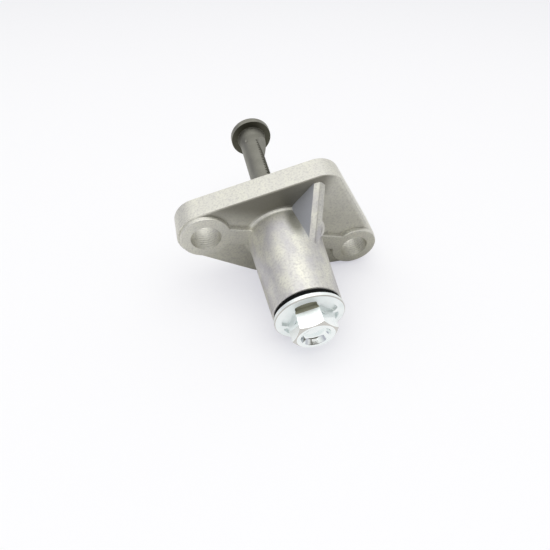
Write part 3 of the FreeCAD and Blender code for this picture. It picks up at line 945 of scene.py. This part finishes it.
@dataclass
class Table:
    """White table under the part. It lies as in the photograph, against the bolt's flange and the plate's edge."""

    radius: float = 1.2
    sides: int = 64
    tone: str = "#F4F4F6"
    seen_tone: str = "#FFFFF6"
    glow_tone: str = "#F2F2FF"
    shade: str = "#C2C1BC"
    shade_middle_mm: tuple[float, float, float] = (9.0, -14.0, 0.0)
    shade_reach_mm: tuple[float, float, float] = (29.0, 13.0, 1000.0)
    shade_span: tuple[float, float] = (0.7, 1.3)
    shown_white: float = 0.52
    mirrored_white: float = 0.75

    def material(self) -> bpy.types.Material:
        """Build the table's material, which keeps the shadow and is clear from below.

        The metal sees the table dark close in front of the part, where the part keeps the light off.

        Returns:
            The finished material.
        """
        material, tree, place = Finish("white_table").start()
        path = add_node(tree, "ShaderNodeLightPath")
        to_camera = path.outputs["Is Camera Ray"]
        share = share_of_reach(tree, place, self.shade_middle_mm, self.shade_reach_mm)
        open_part = add_node(tree, "ShaderNodeMapRange",
                             {"Value": share, "From Min": self.shade_span[0], "From Max": self.shade_span[1]},
                             interpolation_type="SMOOTHSTEP").outputs[0]
        mirrored = add_node(tree, "ShaderNodeMix",
                            {"Factor": open_part, "A": linear(self.shade), "B": linear(self.tone)}, data_type="RGBA")
        colour = add_node(tree, "ShaderNodeMix",
                          {"Factor": to_camera, "A": mirrored.outputs["Result"], "B": linear(self.seen_tone)},
                          data_type="RGBA")
        matt = add_node(tree, "ShaderNodeBsdfDiffuse", {"Color": colour.outputs["Result"]})
        glow_colour = add_node(tree, "ShaderNodeMix",
                               {"Factor": to_camera, "A": linear(WHITE), "B": linear(self.glow_tone)},
                               data_type="RGBA")
        glow = add_node(tree, "ShaderNodeEmission", {"Color": glow_colour.outputs["Result"], "Strength": 1.0})
        far = add_node(tree, "ShaderNodeMath", {0: open_part, 1: self.mirrored_white}, operation="MULTIPLY")
        glossy = add_node(tree, "ShaderNodeMath", {0: path.outputs["Is Glossy Ray"], 1: far.outputs[0]},
                          operation="MULTIPLY")
        seen = add_node(tree, "ShaderNodeMath", {0: to_camera, 1: self.shown_white, 2: glossy.outputs[0]},
                        operation="MULTIPLY_ADD")
        front = add_node(tree, "ShaderNodeMixShader",
                         {0: seen.outputs[0], 1: matt.outputs[0], 2: glow.outputs[0]})
        clear = add_node(tree, "ShaderNodeBsdfTransparent")
        side = add_node(tree, "ShaderNodeNewGeometry")
        both = add_node(tree, "ShaderNodeMixShader",
                        {0: side.outputs["Backfacing"], 1: front.outputs[0], 2: clear.outputs[0]})
        add_node(tree, "ShaderNodeOutputMaterial", {"Surface": both.outputs[0]})
        return material

    def build(self, nodes: dict[str, bpy.types.Object]) -> None:
        """Lay the table against the part's lowest points.

        Args:
            nodes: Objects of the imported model.
        """
        height = min(v.co.dot(TABLE_UP) for node in nodes.values() for v in node.data.vertices)
        shape = bmesh.new()
        bmesh.ops.create_circle(shape, cap_ends=True, segments=self.sides, radius=self.radius)
        turn = TABLE_UP.to_track_quat("Z", "Y").to_matrix().to_4x4()
        bmesh.ops.transform(shape, matrix=Matrix.Translation(TABLE_UP * height) @ turn, verts=shape.verts)
        mesh_object("table", shape, self.material(), False)
        LOG.info("table laid at %.2f mm", height / MM)


@dataclass
class Studio:
    """Soft light from above, a pale room and the camera of the photograph."""

    eye_mm: tuple[float, float, float] = (-40.90, -74.38, 67.12)
    right: tuple[float, float, float] = (0.9246, -0.2255, 0.3069)
    up: tuple[float, float, float] = (-0.0242, 0.7694, 0.6383)
    back: tuple[float, float, float] = (-0.3801, -0.5976, 0.7060)
    lens: float = 30.55
    sensor: float = 36.0
    nearest: float = 0.002
    farthest: float = 20.0
    key_way: tuple[float, float, float] = (-0.31, 0.02, 0.945)
    key_level: float = 0.97
    key_size: float = 0.64
    key_distance: float = 0.45
    low_tone: str = "#A8A8B6"
    side_way: tuple[float, float, float] = (0.85, 0.5, 0.1)
    side_span: tuple[float, float] = (0.5, 0.95)
    side_tone: str = "#EEEEEE"
    top_span: tuple[float, float] = (-0.05, 0.65)
    top_tone: str = "#F6F6F4"
    front_way: tuple[float, float, float] = (0.1, -0.85, 0.5)
    front_span: tuple[float, float] = (0.743, 0.883)
    front_tone: str = "#4A4739"
    room_level: float = 0.92

    def place_camera(self) -> None:
        """Set the camera where the photograph was taken from."""
        data = bpy.data.cameras.new("camera")
        data.lens = self.lens
        data.sensor_width = self.sensor
        data.clip_start = self.nearest
        data.clip_end = self.farthest
        camera = bpy.data.objects.new("camera", data)
        turn = Matrix((self.right, self.up, self.back)).transposed().to_4x4()
        camera.matrix_world = Matrix.Translation(Vector(self.eye_mm) * MM) @ turn
        bpy.context.scene.collection.objects.link(camera)
        bpy.context.scene.camera = camera

    def hang_light(self) -> None:
        """Hang the square soft light above the part; a level of one makes its face as bright as white paper."""
        way = Vector(self.key_way)
        data = bpy.data.lights.new("overhead", "AREA")
        data.size = self.key_size
        data.energy = self.key_level * math.pi * self.key_size ** 2
        lamp = bpy.data.objects.new("overhead", data)
        lamp.matrix_world = (Matrix.Translation(way.normalized() * self.key_distance)
                             @ way.to_track_quat("Z", "Y").to_matrix().to_4x4())
        bpy.context.scene.collection.objects.link(lamp)

    def fill_room(self) -> None:
        """Make the world.

        It is white where the camera sees it. The metal sees it cool low down, pale on the right and above, and dark
        in front.
        """
        world = bpy.data.worlds.new("room")
        bpy.context.scene.world = world
        world.use_nodes = True
        tree = world.node_tree
        tree.nodes.clear()
        way = add_node(tree, "ShaderNodeTexCoord").outputs["Generated"]
        path = add_node(tree, "ShaderNodeLightPath")
        colour = linear(self.low_tone)
        for toward, (start, full), tone in (
            (Vector(self.side_way), self.side_span, self.side_tone),
            (TABLE_UP, self.top_span, self.top_tone),
            (Vector(self.front_way), self.front_span, self.front_tone),
        ):
            facing = add_node(tree, "ShaderNodeVectorMath", {0: way, 1: tuple(toward.normalized())},
                              operation="DOT_PRODUCT")
            share = add_node(tree, "ShaderNodeMapRange",
                             {"Value": facing.outputs["Value"], "From Min": start, "From Max": full},
                             interpolation_type="SMOOTHSTEP")
            colour = add_node(tree, "ShaderNodeMix", {"Factor": share.outputs[0], "A": colour, "B": linear(tone)},
                              data_type="RGBA").outputs["Result"]
        seen = add_node(tree, "ShaderNodeMix",
                        {"Factor": path.outputs["Is Camera Ray"], "A": colour, "B": linear(WHITE)}, data_type="RGBA")
        level = add_node(tree, "ShaderNodeMapRange",
                         {"Value": path.outputs["Is Diffuse Ray"], "To Min": 1.0, "To Max": self.room_level})
        light = add_node(tree, "ShaderNodeBackground",
                         {"Color": seen.outputs["Result"], "Strength": level.outputs[0]})
        add_node(tree, "ShaderNodeOutputWorld", {"Surface": light.outputs[0]})

    def build(self) -> None:
        """Set up the room, the lamp and the camera."""
        bpy.context.scene.view_settings.view_transform = "Standard"
        self.fill_room()
        self.hang_light()
        self.place_camera()
        LOG.info("room, lamp and camera set")


def main() -> None:
    """Dress the part, lay the table and set the light and the camera."""
    logging.basicConfig(level=logging.INFO, format="%(name)s: %(message)s")
    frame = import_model()
    nodes = frame["nodes"]
    wire = DrawnSteel(name="music_wire", tone="#C4C4C2", worn="#A09F9C").make()
    Housing().dress(nodes, CastAluminium())
    Plunger().dress(nodes, PhosphatedSteel(), wire)
    Pawl().dress(nodes, DrawnSteel(name="ground_steel"), wire)
    EndBolt().dress(nodes, ZincPlate(), MouldedRubber())
    Table().build(nodes)
    Studio().build()


if __name__ == "__main__":
    main()
